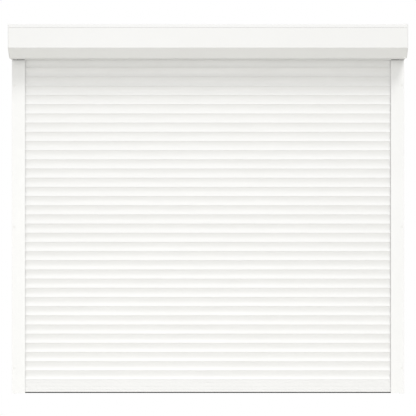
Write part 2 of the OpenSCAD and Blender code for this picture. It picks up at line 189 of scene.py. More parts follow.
def round_corners(points, radii, steps=5):
    """A closed outline with each corner turned into an arc of its radius."""
    result = []
    points = [Vector(p) for p in points]
    for i, radius in enumerate(radii):
        corner = points[i]
        if radius <= 0:
            result.append(corner)
            continue
        back = (points[i - 1] - corner).normalized()
        ahead = (points[(i + 1) % len(points)] - corner).normalized()
        half = back.angle(ahead) / 2
        centre = corner + (back + ahead).normalized() * (radius / math.sin(half))
        start = corner + back * (radius / math.tan(half)) - centre
        end = corner + ahead * (radius / math.tan(half)) - centre
        turn = start.angle(end)
        for s in range(steps + 1):
            a = math.sin(turn * (1 - s / steps)) / math.sin(turn)
            b = math.sin(turn * s / steps) / math.sin(turn)
            result.append(centre + a * start + b * end)
    return result


def rounded(points, radius, steps=5):
    return round_corners(points, [radius] * len(points), steps)


def rectangle(a0, a1, b0, b1):
    return [(a0, b0), (a1, b0), (a1, b1), (a0, b1)]


def arc(centre, radius, start, end, steps):
    """Points on an arc from one angle to another, in degrees."""
    angles = [math.radians(start + (end - start) * s / steps) for s in range(steps + 1)]
    return [Vector((centre[0] + radius * math.cos(a), centre[1] + radius * math.sin(a))) for a in angles]


def circle(centre, radius, steps=32):
    return arc(centre, radius, 0, 360 * (steps - 1) / steps, steps - 1)


def left_of(a, b):
    """Unit vector to the left of the way from a to b."""
    d = (b - a).normalized()
    return Vector((-d.y, d.x))


def bent_sheet(path, thick=sheet_t, bend=bend_r):
    """Section of a bent sheet: its outer face follows path, and its thickness lies to the left."""
    path = [Vector(p) for p in path]
    last = len(path) - 1
    inner, outer_radii, inner_radii = [], [], []
    for i, p in enumerate(path):
        a = left_of(path[max(i - 1, 0)], path[max(i, 1)])
        b = left_of(path[min(i, last - 1)], path[min(i + 1, last)])
        inner.append(p + thick * (a + b) / (1 + a.dot(b)))
        turns_left = a.x * b.y - a.y * b.x > 0
        wide, narrow = bend, bend - thick
        if i in (0, last):
            wide = narrow = edge_r
        outer_radii.append(wide if turns_left else narrow)
        inner_radii.append(narrow if turns_left else wide)
    return round_corners(path + inner[::-1], outer_radii + inner_radii[::-1])


def inset(outline, distance):
    """An outline moved inwards; its points run anticlockwise."""
    result = []
    for i, p in enumerate(outline):
        a = left_of(outline[i - 1], p)
        b = left_of(p, outline[(i + 1) % len(outline)])
        result.append(p + distance * (a + b) / (1 + a.dot(b)))
    return result


def box_outline(a):
    """The box in the YZ plane, moved inwards by a."""
    k = (math.sqrt(2) - 1) * a
    return [
        Vector((-a, z_box + a)), Vector((-a, z_top - a)), Vector((a - box_d, z_top - a)),
        Vector((a - box_d, z_box + slope + k)), Vector((slope - box_d + k, z_box + a)),
    ]


# Meshes

class Form:
    """Closed shapes in millimetres that become one mesh."""

    def __init__(self):
        self.points = []
        self.faces = []

    def ring(self, points):
        """Adds points and gives their numbers."""
        start = len(self.points)
        self.points += [Vector(p) for p in points]
        return list(range(start, len(self.points)))

    def skin(self, *rings, closed=False):
        """Joins each ring to the next one with quads."""
        following = rings[1:] + rings[:1] if closed else rings[1:]
        for a, b in zip(rings, following):
            for i in range(len(a)):
                j = (i + 1) % len(a)
                self.faces.append((a[i], a[j], b[j], b[i]))

    def cover(self, *rings):
        """Closes a flat outline with triangles, with holes where more rings follow."""
        used = [i for ring in rings for i in ring]
        spans = [max(places) - min(places) for places in zip(*(self.points[i] for i in used))]
        a, b = sorted(range(3), key=lambda axis: spans[axis])[1:]
        flat = [Vector((self.points[i][a], self.points[i][b])) for i in used]
        outlines = []
        start = 0
        for ring in rings:
            outline = list(range(start, start + len(ring)))
            start += len(ring)
            area = sum(flat[i].cross(flat[j]) for i, j in zip(outline, outline[1:] + outline[:1]))
            outlines.append(outline if area > 0 else outline[::-1])
        triangles_inside, tolerance = 1, 1e-7
        found = delaunay_2d_cdt(flat, [], outlines, triangles_inside, tolerance)
        _, _, triangles, sources, _, parts = found
        for corners, inside in zip(triangles, parts):
            if inside == [0]:
                self.faces.append([used[sources[c][0]] for c in corners])

    def loft(self, *outlines):
        """A closed body through outlines with the same number of points."""
        rings = [self.ring(o) for o in outlines]
        self.skin(*rings)
        self.cover(rings[0])
        self.cover(rings[-1])

    def join(self, first, last):
        """A closed body between two flat faces, each given by its outline and the holes in it."""
        for a, b in zip(first, last):
            self.skin(a, b)
        self.cover(*first)
        self.cover(*last)

    def along_x(self, x0, x1, *outlines):
        """Draws YZ outlines, the first with the others as its holes."""
        self.join(*[[self.ring([(x, p[0], p[1]) for p in o]) for o in outlines] for x in (x0, x1)])

    def along_z(self, z0, z1, *outlines):
        """Draws XY outlines, the first with the others as its holes."""
        self.join(*[[self.ring([(p[0], p[1], z) for p in o]) for o in outlines] for z in (z0, z1)])

    def lathe(self, section, place, steps=32, hollow=False):
        """Turns a section of radii and heights round the Z axis of place; a hollow one closes on itself."""
        turns = [2 * math.pi * s / steps for s in range(steps)]
        rings = []
        for r, h in section:
            rings.append(self.ring([place @ Vector((r * math.cos(a), r * math.sin(a), h)) for a in turns]))
        self.skin(*rings, closed=hollow)
        if not hollow:
            self.cover(rings[0])
            self.cover(rings[-1])

    def add(self, other, place=None):
        """Adds another form's shapes, moved to place."""
        start = len(self.points)
        self.points += [place @ p if place else p.copy() for p in other.points]
        self.faces += [[i + start for i in f] for f in other.faces]

    def mirrored(self):
        """The same shapes on the other side of the middle."""
        twin = Form()
        twin.points = [Vector((-p.x, p.y, p.z)) for p in self.points]
        twin.faces = [list(f)[::-1] for f in self.faces]
        return twin

    def take(self, mesh):
        """Adds a mesh, whose lengths are in metres."""
        start = len(self.points)
        self.points += [v.co / MM for v in mesh.vertices]
        self.faces += [[i + start for i in f.vertices] for f in mesh.polygons]

    def mesh(self, name):
        """The shapes as a mesh in metres, with all faces turned outwards."""
        mesh = bpy.data.meshes.new(name)
        mesh.from_pydata([p * MM for p in self.points], [], self.faces)
        work = bmesh.new()
        work.from_mesh(mesh)
        bmesh.ops.recalc_face_normals(work, faces=work.faces)
        work.to_mesh(mesh)
        work.free()
        return mesh


def both_sides(form):
    """A form and its mirrored twin."""
    pair = Form()
    pair.add(form)
    pair.add(form.mirrored())
    return pair


def cut(mesh, cutter):
    """The mesh with the cutter's shapes taken out."""
    body = bpy.data.objects.new("cut_body", mesh)
    tool = bpy.data.objects.new("cut_tool", cutter.mesh("cut_tool"))
    for o in (body, tool):
        bpy.context.scene.collection.objects.link(o)
    step = body.modifiers.new("cut", "BOOLEAN")
    step.object = tool
    step.operation = "DIFFERENCE"
    step.solver = "EXACT"
    evaluated = body.evaluated_get(bpy.context.evaluated_depsgraph_get())
    result = bpy.data.meshes.new_from_object(evaluated)
    for o in (body, tool):
        bpy.data.objects.remove(o)
    return result


def mark(mesh, name, share):
    """Says for each point, in millimetres, how strongly a mark lies there, such as grime and painted shade in
    a groove, and painted shade over a slat's upper part.
    """
    layer = mesh.attributes.new(name, "FLOAT", "POINT")
    for v, value in zip(mesh.vertices, layer.data):
        value.value = share(v.co / MM)
    return mesh


def piece(name, mesh, body, slot, *nodes):
    """A shown object that rides on a body and stands for its CAD nodes."""
    sharp = 32
    mesh.materials.clear()
    mesh.materials.append(looks[slot])
    mesh.shade_smooth()
    mesh.set_sharp_from_angle(angle=math.radians(sharp))
    obj = bpy.data.objects.new(name, mesh)
    bpy.context.scene.collection.objects.link(obj)
    normals = obj.modifiers.new("normals", "WEIGHTED_NORMAL")
    normals.keep_sharp = True
    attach(obj, body)
    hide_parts(*nodes)
    return obj


# Materials

class Look:
    """A procedural material under construction."""

    def __init__(self, slot):
        self.material = bpy.data.materials.new(slot)
        self.material.use_nodes = True
        self.tree = self.material.node_tree
        self.shader = self.tree.nodes["Principled BSDF"]
        self.place = self.tree.nodes.new("ShaderNodeTexCoord").outputs["Object"]
        self.normal = None

    def node(self, kind, **inputs):
        node = self.tree.nodes.new(kind)
        for name, value in inputs.items():
            self.feed(node.inputs[name], value)
        return node

    def feed(self, socket, value):
        """Links a socket to another one or gives it a value."""
        if isinstance(value, bpy.types.NodeSocket):
            self.tree.links.new(value, socket)
        else:
            socket.default_value = value

    def set(self, **inputs):
        for name, value in inputs.items():
            self.feed(self.shader.inputs[name.replace("_", " ")], value)

    def stretched(self, stretch):
        """Places in metres along the object's axes, times stretch."""
        return self.node("ShaderNodeMapping", Vector=self.place, Scale=stretch).outputs["Vector"]

    def noise(self, per_metre, detail=2.0, stretch=(1, 1, 1)):
        return self.node("ShaderNodeTexNoise", Vector=self.stretched(stretch), Scale=per_metre,
                         Detail=detail).outputs["Fac"]

    def cells(self, per_metre):
        node = self.node("ShaderNodeTexVoronoi", Vector=self.place, Scale=per_metre)
        return self.node("ShaderNodeSeparateColor", Color=node.outputs["Color"]).outputs["Red"]

    def spread(self, value, low, high, start=0.3, end=0.7):
        """Maps the part of a value between start and end to low up to high."""
        node = self.tree.nodes.new("ShaderNodeMapRange")
        self.feed(node.inputs["Value"], value)
        self.feed(node.inputs["From Min"], start)
        self.feed(node.inputs["From Max"], end)
        self.feed(node.inputs["To Min"], low)
        self.feed(node.inputs["To Max"], high)
        return node.outputs["Result"]

    def mix(self, share, first, second):
        node = self.tree.nodes.new("ShaderNodeMix")
        node.data_type = "RGBA"
        self.feed(node.inputs["Factor"], share)
        colours = [s for s in node.inputs if s.type == "RGBA"]
        self.feed(colours[0], first)
        self.feed(colours[1], second)
        return [s for s in node.outputs if s.type == "RGBA"][0]

    def times(self, a, b):
        node = self.tree.nodes.new("ShaderNodeMath")
        node.operation = "MULTIPLY"
        self.feed(node.inputs[0], a)
        self.feed(node.inputs[1], b)
        return node.outputs["Value"]

    def bump(self, height, depth):
        """Adds relief, with its depth in millimetres."""
        node = self.node("ShaderNodeBump", Height=height, Strength=1.0, Distance=depth * MM)
        if self.normal:
            self.feed(node.inputs["Normal"], self.normal)
        self.normal = node.outputs["Normal"]
        self.set(Normal=self.normal)

    def marked_share(self, name, per_metre, stretch, least, most):
        """Uneven share of a marked colour, used for grime and for painted shade, where the mesh is marked
        with that name.
        """
        layer = self.node("ShaderNodeAttribute")
        layer.attribute_name = name
        patches = self.spread(self.noise(per_metre, 4, stretch), least, most)
        return self.times(layer.outputs["Fac"], patches)

    def coat(self, tone, patches):
        """White that changes a little from patch to patch."""
        return self.mix(self.spread(patches, 0, 1), grey(tone * 0.992, 0.004), grey(tone * 1.007))

    def facing_up(self):
        """1 where the surface faces up, 0 where it stands upright."""
        normal = self.node("ShaderNodeNewGeometry").outputs["Normal"]
        return self.node("ShaderNodeSeparateXYZ", Vector=normal).outputs["Z"]


def grey(value, warm=0.0):
    """A neutral colour, a little warmer where asked."""
    return (value, value * (1 - 0.12 * warm), value * (1 - warm), 1)


def paint(slot, tone, rough, peel):
    """White coat with an orange peel skin, small tone changes, some dust where it lies flat, and painted
    shade in a marked seam.
    """
    look = Look(slot)
    lying = look.spread(look.facing_up(), 0, 0.16, start=0.75, end=1)
    dust = look.times(lying, look.spread(look.noise(38, 5), 0.2, 1))
    coat = look.mix(dust, look.coat(tone, look.noise(4, 3)), grey(0.5, 0.12))
    # painted shade: a marked seam turns almost black
    groove = look.marked_share("groove", 30, stretch=(0.3, 1, 1), least=0.7, most=1)
    look.set(Base_Color=look.mix(groove, coat, grey(0.1, 0.15)))
    look.set(Roughness=look.spread(look.noise(60, 3), rough - 0.04, rough + 0.05))
    look.bump(look.noise(620, 1), peel)
    look.bump(look.noise(9, 2), 0.04)
    return look.material


def lacquer(slot, tone):
    """White roll coat on slats: faint lines along them, grime and painted shade in the joints, painted shade
    over the upper part of each slat.
    """
    look = Look(slot)
    # painted shade: the upper part of each slat a little darker
    painted_slat_shade = look.marked_share("painted_slat_shade", 20, stretch=(0.3, 1, 1), least=0.4, most=0.6)
    coat = look.mix(painted_slat_shade, look.coat(tone, look.noise(3, 3, (1, 1, 6))), grey(tone * 0.9, 0.01))
    # grime and painted shade darken the joints
    groove = look.marked_share("groove", 45, stretch=(0.35, 1, 1), least=0.1, most=0.3)
    look.set(Base_Color=look.mix(groove, coat, grey(0.46, 0.15)))
    look.set(Roughness=look.spread(look.noise(50, 3, (0.2, 1, 1)), 0.34, 0.44))
    look.bump(look.noise(700, 1, (0.06, 1, 1)), 0.006)
    look.bump(look.noise(420, 1), 0.004)
    return look.material


def plastic(slot, dark, light, rough):
    """Moulded plastic with a fine grain."""
    look = Look(slot)
    look.set(Base_Color=look.mix(look.spread(look.noise(25, 4), 0, 1), dark, light))
    look.set(Roughness=look.spread(look.noise(90, 3), rough - 0.07, rough + 0.08))
    look.bump(look.noise(1500, 2), 0.03)
    return look.material


def rubber(slot):
    """Dull rubber with a chalky bloom and fine lines from its die."""
    look = Look(slot)
    bloom = look.spread(look.noise(30, 5, (0.3, 1, 1)), 0, 1, start=0.35, end=0.75)
    look.set(Base_Color=look.mix(bloom, grey(0.006), grey(0.018)))
    look.set(Roughness=look.spread(bloom, 0.65, 0.88, start=0, end=1), Specular_IOR_Level=0.2)
    look.bump(look.noise(900, 2, (0.04, 1, 1)), 0.05)
    return look.material


def pile(slot):
    """Dense synthetic bristles."""
    look = Look(slot)
    strands = look.noise(1400, 2, (1, 0.12, 1))
    look.set(Base_Color=look.mix(look.spread(strands, 0, 1), grey(0.2), grey(0.42)))
    look.set(Roughness=look.spread(strands, 0.75, 0.95), Sheen_Weight=0.4)
    look.bump(strands, 0.2)
    return look.material


def steel(slot, tone, rough, spangle):
    """Plated or ground steel; spangle is the share of its crystal pattern."""
    look = Look(slot)
    crystals = look.spread(look.cells(160), 0.5 - spangle / 2, 0.5 + spangle / 2, start=0, end=1)
    look.set(Base_Color=look.mix(crystals, grey(tone * 0.86), grey(tone * 1.05)), Metallic=1.0)
    smear = look.noise(70, 4, (0.3, 1, 1))
    look.set(Roughness=look.spread(smear, rough - 0.08, rough + 0.1))
    look.bump(look.noise(1200, 2, (0.1, 1, 1)), 0.01)
    return look.material


looks = {
    "box_white": paint("box_white", tone=0.79, rough=0.40, peel=0.012),
    "cap_white": paint("cap_white", tone=0.80, rough=0.44, peel=0.02),
    "rail_white": paint("rail_white", tone=0.81, rough=0.38, peel=0.01),
    "bar_white": paint("bar_white", tone=0.77, rough=0.38, peel=0.01),
    "slat_white": lacquer("slat_white", tone=0.804),
    "plastic_white": plastic("plastic_white", grey(0.76, 0.02), grey(0.79, 0.01), 0.45),
    "plastic_black": plastic("plastic_black", grey(0.018), grey(0.035), 0.5),
    "plastic_grey": plastic("plastic_grey", grey(0.25), grey(0.32), 0.5),
    "motor_black": plastic("motor_black", grey(0.015), grey(0.025), 0.35),
    "brush_grey": pile("brush_grey"),
    "rubber_black": rubber("rubber_black"),
    "zinc_steel": steel("zinc_steel", tone=0.66, rough=0.36, spangle=0.9),
    "bearing_steel": steel("bearing_steel", tone=0.72, rough=0.22, spangle=0.1),
    "spring_steel": steel("spring_steel", tone=0.5, rough=0.34, spangle=0.2),
    "screw_steel": steel("screw_steel", tone=0.7, rough=0.3, spangle=0.3),
}


# Box

def make_top_sheet():
    """Top of the box, with the lip that hangs over the front sheet."""
    form = Form()
    path = [(0, z_top), (lip_lean - box_d, z_top), (-box_d, z_top - lip_h)]
    form.along_x(-panel_half, panel_half, bent_sheet(path))
    piece("top_sheet", form.mesh("top_sheet"), "frame", "box_white", "top_panel")


def make_front_sheet():
    """Upright front, with a strip behind the lip that closes the seam."""
    form = Form()
    head = z_top - lip_h - seam
    foot = z_box + slope + seam / 2
    inside = sheet_t - box_d
    form.along_x(-panel_half, panel_half, bent_sheet([(-box_d, head), (-box_d, foot)]))
    strip = [(inside + lip_lean * tuck_h / lip_h, head + tuck_h), (inside, head), (inside, head - tuck_h)]
    form.along_x(-tuck_half, tuck_half, bent_sheet(strip))

    # painted shade: the strip and the sheet's inner face by the seam are darkened
    def in_seam(p):
        return p.z > head - tuck_h / 2 and p.y > inside - edge_r
    mesh = mark(form.mesh("front_sheet"), "groove", in_seam)
    piece("front_sheet", mesh, "frame", "box_white", "front_panel")


def make_flap_sheet():
    """Slope and underside, with a notch over each rail and a hook behind the front sheet."""
    sheet, notches, form = Form(), Form(), Form()
    corner = Vector((-box_d, z_box + slope))
    path = [
        corner + Vector((seam, -seam)), (slope - box_d, z_box),
        (-flap_edge, z_box), (-flap_edge, z_box + tuck_h),
    ]
    sheet.along_x(-panel_half, panel_half, bent_sheet(path))
    notch = rectangle(-flap_edge - notch_d, past - flap_edge, z_box - past, z_box + tuck_h + past)
    notches.along_x(-half_w, -notch_half, notch)
    notches.along_x(notch_half, half_w, notch)
    form.take(cut(sheet.mesh("sheet"), notches))
    hook = corner + Vector((seat, 0))
    hook_path = [hook + Vector((0, tuck_h)), hook - Vector((0, sheet_t / 2))]
    form.along_x(-tuck_half, tuck_half, bent_sheet(hook_path))
    piece("flap_sheet", form.mesh("flap_sheet"), "frame", "box_white", "inspection_flap")


def at_grommet(y):
    """A frame on the cable's axis whose Z axis points to the front."""
    low, high = node_box("cable_grommet")
    middle = (low + high) / 2
    return Matrix.Translation((middle.x, y, middle.z)) @ Matrix.Rotation(math.pi / 2, 4, "X")


def make_rear_sheet():
    """The wall side, with a flange under the top sheet and the hole of the cable."""
    back, hole, form = Form(), Form(), Form()
    head = z_top - sheet_t - fit / 2
    back.along_x(-panel_half, panel_half, bent_sheet([(0, z_box), (0, head)]))
    hole.lathe([(grommet_r, 0), (grommet_r, sheet_t + 2 * past)], at_grommet(past), 48)
    form.take(cut(back.mesh("back"), hole))
    form.along_x(-tuck_half, tuck_half, bent_sheet([(-sheet_t, head), (-tuck_h, head)]))
    piece("rear_sheet", form.mesh("rear_sheet"), "frame", "box_white", "rear_panel")


def make_grommet():
    """A rubber ring in the rear sheet, with its flange inside the box."""
    low, high = node_box("cable_grommet")
    body, flange, depth = grommet_r - fit, (high.x - low.x) / 2, high.y - low.y
    section = round_corners(
        [(cable_r, 0), (body, 0), (body, sheet_t), (flange, sheet_t), (flange, depth), (cable_r, depth)],
        [0.4, 0.3, 0.1, 0.3, 0.6, 0.5])
    form = Form()
    form.lathe(section, at_grommet(high.y), 48, hollow=True)
    piece("grommet_ring", form.mesh("grommet_ring"), "frame", "rubber_black", "cable_grommet")


def bracket_bolts():
    """Places of the bolts round the shaft, in the YZ plane."""
    sides = (-bracket_bolt, bracket_bolt)
    return [(shaft_y + a, shaft_z + b) for a in sides for b in sides]


def cap_plate(form):
    """The left cap's plate with its rounded rim and the holes of the bracket's bolts."""
    outline = rounded(box_outline(0), cap_corner_r, 6)
    rim = [(cap_edge_r * (1 - p.x), cap_edge_r * (1 - p.y)) for p in arc((0, 0), 1, 0, 90, 5)]
    rim += [(cap_t - edge_r, 0), (cap_t, edge_r)]
    rings = [form.ring([(x - half_w, p.x, p.y) for p in inset(outline, d)]) for x, d in rim]
    form.skin(*rings)
    holes = []
    for x in (-half_w, cap_t - half_w):
        outlines = [circle(place, bolt_hole_r, 24) for place in bracket_bolts()]
        holes.append([form.ring([(x, p.x, p.y) for p in outline]) for outline in outlines])
    for outside, inside in zip(*holes):
        form.skin(outside, inside)
    form.cover(rings[0], *holes[0])
    form.cover(rings[-1], *holes[1])


def cap_spigot(form):
    """The left cap's foot in the rail, with a neck that stands back behind the notch."""
    tip, neck, corner_r = 1.5, 14, 1
    wall = rail_wall + chamber_play
    u0, u1, v0, v1 = wall - half_w, chamber_w - wall - half_w, wall - rail_d, -wall
    levels = [
        (cap_low.z, tip, 0), (cap_low.z + 3 * tip, 0, 0), (z_rail_top - neck, 0, 0),
        (z_rail_top - 1, 0, neck), (z_box + seat, 0, neck),
    ]
    outlines = []
    for z, d, back in levels:
        plan = rounded(rectangle(u0 + d, u1 - d, v0 + d + back, v1 - d), corner_r, 3)
        outlines.append([(p.x, p.y, z) for p in plan])
    form.loft(*outlines)


def make_end_cap():
    """The left cap: plate, collar under the sheets, and the spigot in the rail."""
    form = Form()
    cap_plate(form)
    z = z_box + seat
    run = [Vector((-collar_heel, z)), *box_outline(seat), Vector((-flap_edge - notch_d, z))]
    form.along_x(cap_t - half_w, cap_t - half_w + collar_d, bent_sheet(run, collar_t, collar_bend))
    cap_spigot(form)
    return form


def make_end_caps():
    """The left cap, and its mirror image on the right."""
    left = make_end_cap()
    right = left.mirrored()
    piece("cap_casting_left", left.mesh("cap_casting_left"), "frame", "cap_white", "end_cap_left")
    piece("cap_casting_right", right.mesh("cap_casting_right"), "frame", "cap_white", "end_cap_right")


def screw_form():
    """A pan head screw with a cross recess; its head stands on z = 0, its shank points down."""
    head, cross, form = Form(), Form(), Form()
    dome_r, point_h, point_d = 1.4, 0.8, 0.6
    dome = arc((head_r - dome_r, head_h - dome_r), dome_r, 90, 0, 6)
    shank = [(head_r, 0), (bolt_r, 0), (bolt_r, point_h - bolt_l), (bolt_r - point_d, -bolt_l)]
    head.lathe([tuple(p) for p in dome] + shank, Matrix())
    arm, width = 2.0, 0.45
    floor_z, floor_share = head_h - 1.3, 0.7
    mouth_z, mouth_share = head_h + 0.5, 1.1
    for a, b in ((arm, width), (width, arm)):
        outlines = []
        for z, k in ((floor_z, floor_share), (mouth_z, mouth_share)):
            outlines.append([(x, y, z) for x, y in rectangle(-a * k, a * k, -b * k, b * k)])
        cross.loft(*outlines)
    form.take(cut(head.mesh("screw"), cross))
    return form


def rivet_form():
    """A blind rivet with a flat dome and the hollow of its mandrel."""
    form = Form()
    hollow = [(1.0, 0.25), (1.15, 0.75)]
    dome = [(1.5, rivet_h), (2.2, 0.92), (3.0, 0.66), (3.5, 0.25), (head_r, 0)]
    form.lathe(hollow + dome + [(bolt_r, 0), (bolt_r, -bolt_l)], Matrix())
    return form


def make_fasteners():
    """Screws under the flap, rivets on the top sheet and the bolts of the brackets."""
    form, screw, rivet = Form(), screw_form(), rivet_form()
    down = Matrix.Rotation(math.pi, 4, "X")
    for side in (-1, 1):
        for y in flap_bolts:
            turn = Matrix.Rotation(random.uniform(0, math.pi / 2), 4, "Z")
            form.add(screw, Matrix.Translation((side * collar_bolt_x, y, z_box)) @ down @ turn)
        for y in top_bolts:
            form.add(rivet, Matrix.Translation((side * collar_bolt_x, y, z_top)))
        inward = Matrix.Rotation(-side * math.pi / 2, 4, "Y")
        for y, z in bracket_bolts():
            form.add(screw, Matrix.Translation((side * (half_w - cap_t - bracket_t), y, z)) @ inward)
    piece("box_fasteners", form.mesh("box_fasteners"), "frame", "screw_steel", "box_screws")


# Rails

def holder_outline(to_plan):
    """The brush groove on a channel wall, from the mouth inwards."""
    u = rail_w - holder_w
    inner = holder_t + holder_lip
    lip = holder_h - holder_lip
    points = [
        (rail_w, holder_h), (rail_w - inner, holder_h), (rail_w - inner, lip), (rail_w - holder_t, lip),
        (rail_w - holder_t, 0), (u + holder_t, 0), (u + holder_t, lip), (u + inner, lip),
        (u + inner, holder_h), (u, holder_h), (u, 0),
    ]
    return [to_plan(p) for p in points]


def rail_outlines():
    """The rail's plan: u runs from its outer face to the curtain, v from the wall."""
    corner_r, mouth_r, groove_r, chamber_r = 0.8, 0.5, 0.2, 0.3
    rear = holder_outline(lambda p: (p[0], rail_wall + p[1]))
    front = holder_outline(lambda p: (p[0], rail_d - rail_wall - p[1]))
    outer = [(0, 0), (rail_w, 0)] + rear + [(chamber_w, rail_wall), (chamber_w, rail_d - rail_wall)]
    outer += front[::-1] + [(rail_w, rail_d), (0, rail_d)]
    radii = [corner_r, mouth_r] + [groove_r] * (len(outer) - 4) + [corner_r, corner_r]
    chamber = rectangle(rail_wall, chamber_w - rail_wall, rail_wall, rail_d - rail_wall)
    return round_corners(outer, radii, 4), rounded(chamber, chamber_r, 3)


def in_rail(outline):
    """Puts a plan at the left rail."""
    return [Vector((p[0] - half_w, -p[1])) for p in outline]


def towards_front(u, v, z):
    """A frame at the left rail whose Z axis points to the viewer."""
    return Matrix.Translation((u - half_w, -v, z)) @ Matrix.Rotation(math.pi / 2, 4, "X")


def make_rails():
    """Extrusions with screw holes at the wall and access holes before them."""
    form, holes = Form(), Form()
    outer, chamber = rail_outlines()
    form.along_z(z_rail_foot, z_rail_top, in_rail(outer), in_rail(chamber))
    for z in screw_heights:
        for radius, v in ((screw_hole_r, 0), (access_r, rail_d - rail_wall)):
            section = [(radius, -past), (radius, rail_wall + past)]
            holes.lathe(section, towards_front(screw_u, v, z), 40)
    sides = {"left": (form, holes), "right": (form.mirrored(), holes.mirrored())}
    for name, (body, cutter) in sides.items():
        mesh = cut(body.mesh(f"rail_profile_{name}"), cutter)
        piece(f"rail_profile_{name}", mesh, "frame", "rail_white", f"guide_rail_{name}")


def plug_face():
    """Section of a flush plug with a fine ring on its face."""
    radius = access_r - fit
    ring_in, ring_out, ring_d = radius - 1.3, radius - 1.0, 0.15
    edge, shank_r, length = 0.25, radius - 0.4, 3
    return [
        (ring_in, 0), ((ring_in + ring_out) / 2, -ring_d), (ring_out, 0), (radius - edge, 0), (radius, -edge),
        (radius, -rail_wall), (shank_r, -rail_wall - chamber_play), (shank_r, -length),
    ]


def make_plugs():
    """Flush plugs in the access holes, and feet with a tongue under the chambers."""
    form = Form()
    for z in screw_heights:
        form.lathe(plug_face(), towards_front(screw_u, rail_d, z), 40)
    base_r, edge = 0.8, 0.4
    base = rounded(rectangle(0, chamber_w, 0, rail_d), base_r, 4)
    levels = ((z_sill, edge), (z_sill + edge, 0), (z_rail_foot, 0))
    form.loft(*[[(p.x, p.y, z) for p in in_rail(inset(base, d))] for z, d in levels])
    tongue_h, tongue_r, point_h, point_d = 16, 1.6, 4, 1.2
    wall = rail_wall + chamber_play
    tongue = rounded(rectangle(wall, chamber_w - wall, wall, rail_d - wall), tongue_r, 3)
    levels = ((z_rail_foot, 0), (z_rail_foot + tongue_h, 0), (z_rail_foot + tongue_h + point_h, point_d))
    form.loft(*[[(p.x, p.y, z) for p in in_rail(inset(tongue, d))] for z, d in levels])
    piece("plug_caps", both_sides(form).mesh("plug_caps"), "frame", "plastic_white", "rail_plugs")


def make_brushes():
    """Pile strips: a woven back in the groove and rows of leaning tufts."""
    low, high = node_box("rail_brushes")
    play, clear, back_r = 0.2, 0.35, 0.3
    back_w = holder_w - 2 * (holder_t + play)
    back_h = holder_h - holder_lip - 2 * play
    reach = (rail_d - 2 * rail_wall - slat_depth) / 2 - clear
    rows, step = (-1.2, -0.4, 0.4, 1.2), 2.4
    tuft_u, tuft_z = 0.5, 1.1
    tip_u, tip_z = 0.6, 0.7
    trim, bow, stray = 0.6, 0.25, 0.4
    middle = rail_w - holder_w / 2
    form = Form()
    for rear in (True, False):
        def to_plan(u, h):
            return (u, rail_wall + h if rear else rail_d - rail_wall - h)
        section = rectangle(middle - back_w / 2, middle + back_w / 2, play / 2, back_h + play / 2)
        back = [to_plan(u, h) for u, h in section]
        form.along_z(low.z, high.z, in_rail(rounded(back, back_r, 3)))
        z = low.z + step
        while z < high.z - step:
            for row in rows:
                tall = reach - random.uniform(0, trim)
                lean = random.uniform(-bow, bow)
                at = z + random.uniform(-stray, stray)
                foot, tip = [], []
                for a, b in rectangle(-tuft_u, tuft_u, -tuft_z, tuft_z):
                    u, v = in_rail([to_plan(middle + row + a, back_h / 2)])[0]
                    foot.append((u, v, at + b))
                    u, v = in_rail([to_plan(middle + row + tip_u * a + lean, tall)])[0]
                    tip.append((u, v, at + tip_z * b + lean))
                form.loft(foot, tip)
            z += step
    piece("brush_pile", both_sides(form).mesh("brush_pile"), "frame", "brush_grey", "rail_brushes")


# Curtain

def bead_outline(z):
    """From the front of the neck over the bead to the rear of the neck; z is the joint's height."""
    half = math.degrees(math.asin(neck_t / 2 / bead_r))
    return arc((neck_y, z + pocket_z), bead_r, 270 - half, half - 90, 14)


def neck_outline(foot, z):
    """The bead with its neck, which stands on foot."""
    half = neck_t / 2
    return [Vector((neck_y - half, foot))] + bead_outline(z) + [Vector((neck_y + half, foot))]


def pocket_outline(z, foot):
    """From the rear of the pocket's mouth over the pocket to the front of its mouth."""
    mouth = neck_t / 2 + link_clear
    radius = bead_r + link_clear
    half = math.degrees(math.asin(mouth / radius))
    inside = arc((neck_y, z + pocket_z), radius, half - 90, 270 - half, 14)
    return [Vector((neck_y + mouth, foot))] + inside + [Vector((neck_y - mouth, foot))]


def between(z0, z1, steps):
    """Even steps from one height to another."""
    return [z0 + (z1 - z0) * s / steps for s in range(steps + 1)]


def slat_front(behind, z0, z1, steps=32):
    """Points upwards on the front face or behind it: two arcs that meet where the face is deepest."""
    result = []
    for z in between(z0, z1, steps):
        reach = hollow_z if z < hollow_z else pitch - hollow_z
        radius = (reach ** 2 + hollow_d ** 2) / (2 * hollow_d)
        rise = radius - math.sqrt(radius ** 2 - (z - hollow_z) ** 2)
        result.append(Vector((behind - slat_depth / 2 + hollow_d - rise, z)))
    return result


def slat_rear(before, z0, z1, steps=26):
    """Points downwards on the curved rear face or before it."""
    radius = slat_r + slat_t - before
    heights = between(z1, z0, steps)
    return [Vector((slat_c + math.sqrt(radius ** 2 - (z - pitch / 2) ** 2), z)) for z in heights]


def ends(points, radius):
    """Radii that round only the first and the last of some points."""
    return [radius] + [0] * (len(points) - 2) + [radius]


def slat_outlines():
    """A slat's section with its bead, its pocket and its hollow."""
    neck_r, mouth_r = 0.35, 0.25
    top = pitch - slat_joint
    front = slat_front(0, 0, top)
    rear = slat_rear(0, 0, top)
    neck = neck_outline(top, pitch)
    pocket = pocket_outline(0, 0)
    radii = ends(front, slat_lip_r) + ends(neck, neck_r) + ends(rear, slat_lip_r) + ends(pocket, mouth_r)
    outer = round_corners(front + neck + rear + pocket, radii)
    low = pocket_z + bead_r + link_clear + slat_wall
    inner = slat_front(slat_wall, low, top - slat_wall, 12) + slat_rear(slat_wall, low, top - slat_wall, 12)
    return outer, inner


